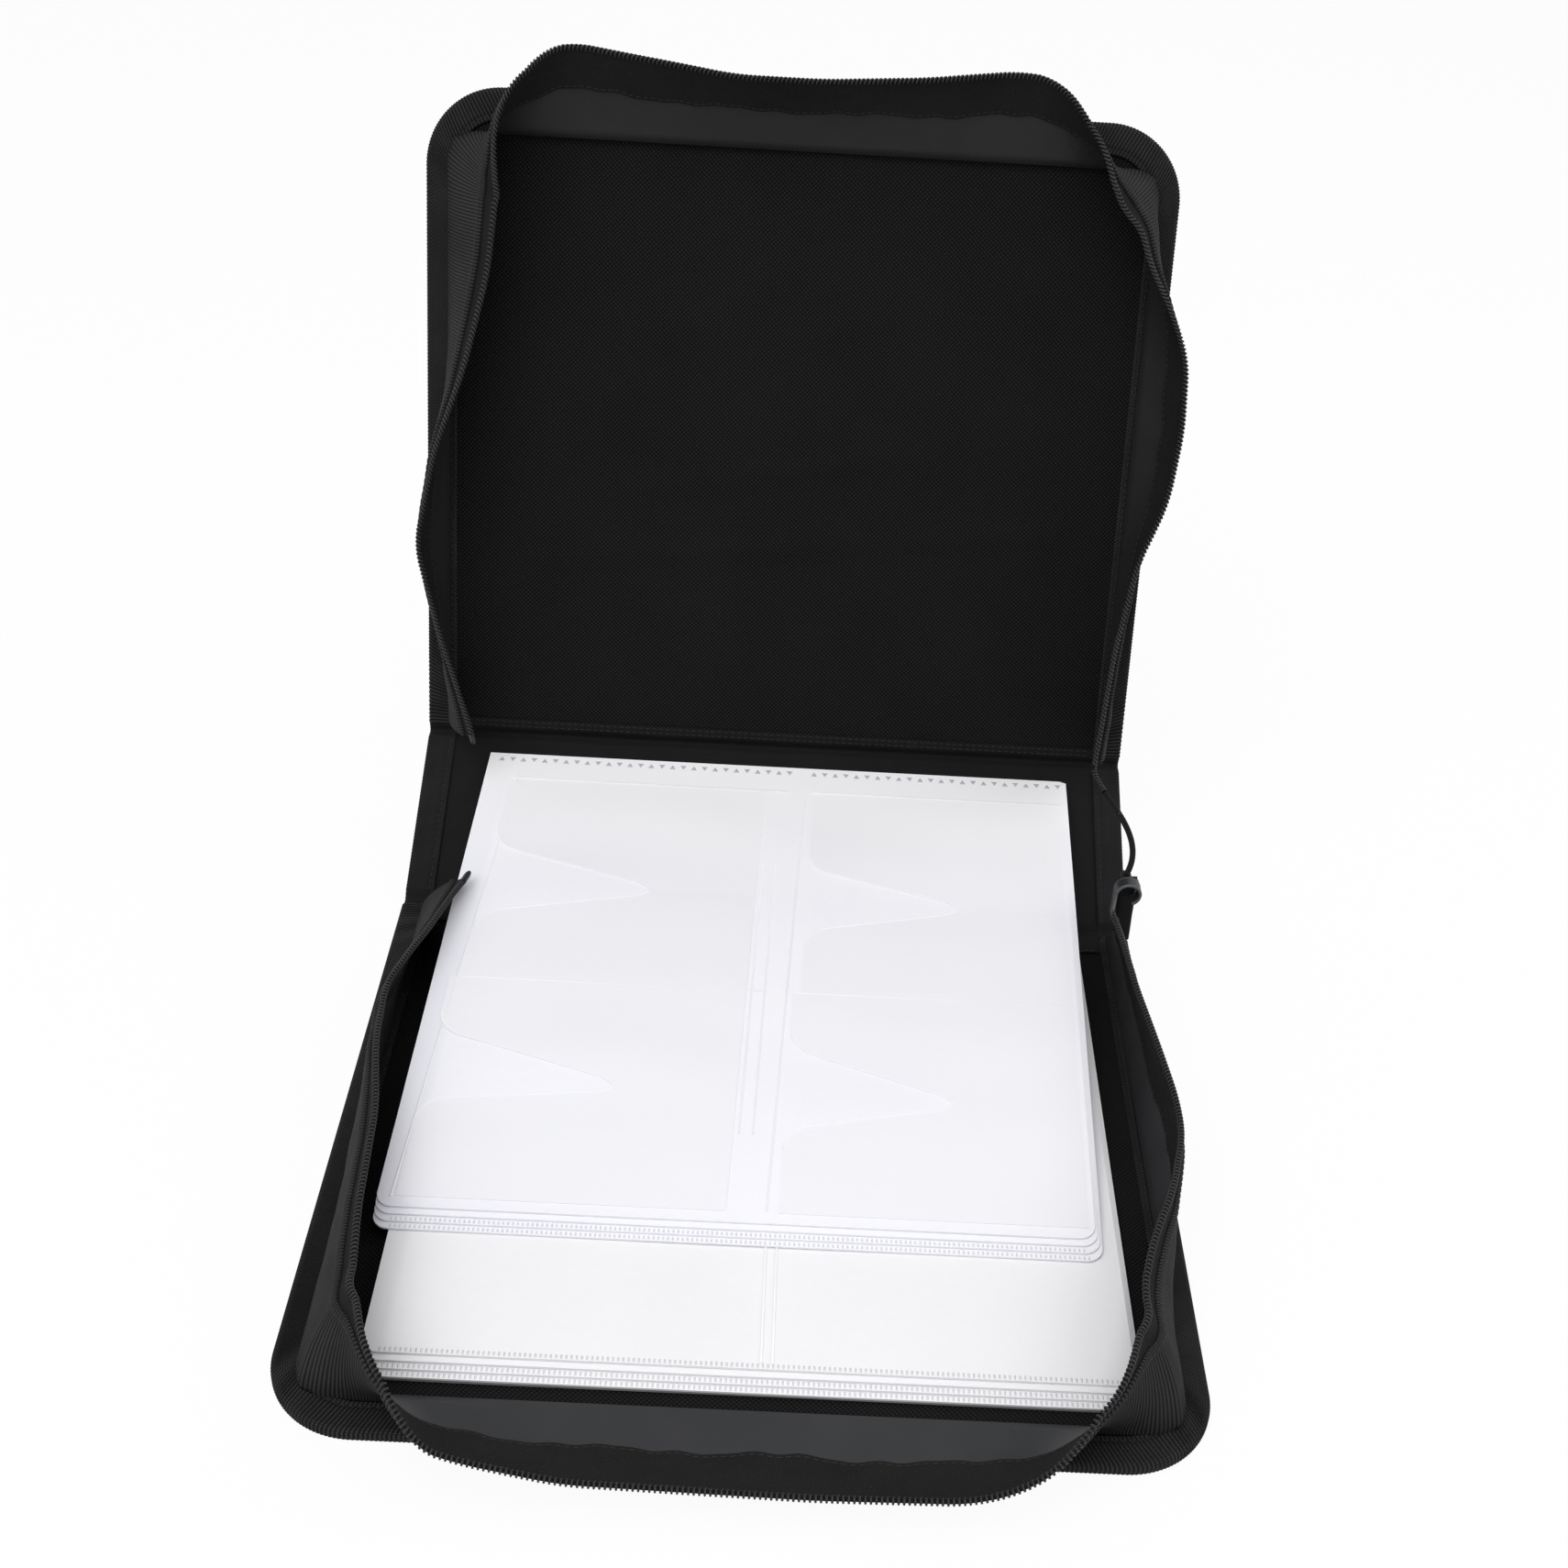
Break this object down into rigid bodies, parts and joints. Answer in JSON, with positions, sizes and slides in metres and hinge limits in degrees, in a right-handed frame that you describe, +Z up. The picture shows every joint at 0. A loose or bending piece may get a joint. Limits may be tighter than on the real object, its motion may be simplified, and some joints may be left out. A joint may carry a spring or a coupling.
{
  "type": "cd storage case",
  "caption": "Zip-round black fabric disc case, opened on its base, with a folding spine and lid, soft zip walls and white sleeve pages.",
  "frame": {"origin": "middle of the base's underside, where it rests on the table", "axes": "+X to the right across the case, +Y from the base's front edge towards the spine and lid, +Z up"},
  "size_m": [0.3334, 0.4801, 0.3456],
  "materials": {
    "cover_oxford": "coarse woven black oxford cloth",
    "grey_board": "plain stiffener board",
    "nonwoven_liner": "black non-woven cloth with a fine dot emboss",
    "plain_lining": "plain black lining cloth",
    "binding_tape": "ribbed black binding tape with a stitched seam",
    "wall_cloth": "black oxford outside, smooth dark grey coating inside",
    "zip_tape": "fine black woven zip tape",
    "zip_coil": "black nylon coil teeth",
    "sleeve_film": "translucent white sleeve film and cloth",
    "sleeve_film_low": "translucent white sleeve film, slightly warmer",
    "backing_film": "grey backing sheet",
    "page_strip_cloth": "white strip that the pages are welded to",
    "coated_tape": "dark grey coated tape end",
    "tab_cloth": "folded black cloth tab",
    "slider_metal": "black painted slider"
  },
  "bodies": {
    "base": {"base_cover": "cover_oxford", "base_board": "grey_board", "base_liner": "nonwoven_liner", "base_binding": "binding_tape", "base_wall": "wall_cloth", "base_zip_tape": "zip_tape", "base_zip_teeth": "zip_coil", "lining_hem_base": "plain_lining", "page_backing_sheet": "backing_film", "lower_pages": "sleeve_film_low", "upper_pages": "sleeve_film", "zip_slider": "slider_metal", "zip_end_loop": "coated_tape", "zip_end_tab": "tab_cloth"},
    "spine": {"spine_cover": "cover_oxford", "spine_board": "grey_board", "spine_lining": "plain_lining", "spine_binding_left": "binding_tape", "spine_binding_right": "binding_tape", "page_strip_lower": "page_strip_cloth", "page_strip_upper": "page_strip_cloth", "zip_tail": "zip_tape"},
    "lid": {"lid_cover": "cover_oxford", "lid_board": "grey_board", "lid_liner": "nonwoven_liner", "lid_binding": "binding_tape", "lid_wall": "wall_cloth", "lid_zip_tape": "zip_tape", "lid_zip_teeth": "zip_coil", "lining_hem_lid": "plain_lining"},
    "pull": {"zip_pull": "slider_metal"}
  },
  "joints": [
    {"name": "spine_fold", "type": "hinge", "parent": "base", "child": "spine", "pos_m": [0, 0.14575, 0.0004], "axis": [1, 0, 0], "range_deg": [-26, 64], "deforming": ["upper_pages"]},
    {"name": "lid_fold", "type": "hinge", "parent": "spine", "child": "lid", "pos_m": [0, 0.22799, 0.04051], "axis": [1, 0, 0], "range_deg": [-48, 42], "deforming": ["zip_tail"]},
    {"name": "pull_swing", "type": "hinge", "parent": "base", "child": "pull", "pos_m": [0.1607, 0.13, 0.044], "axis": [0, -1, 0], "range_deg": [0, 150]}
  ]
}
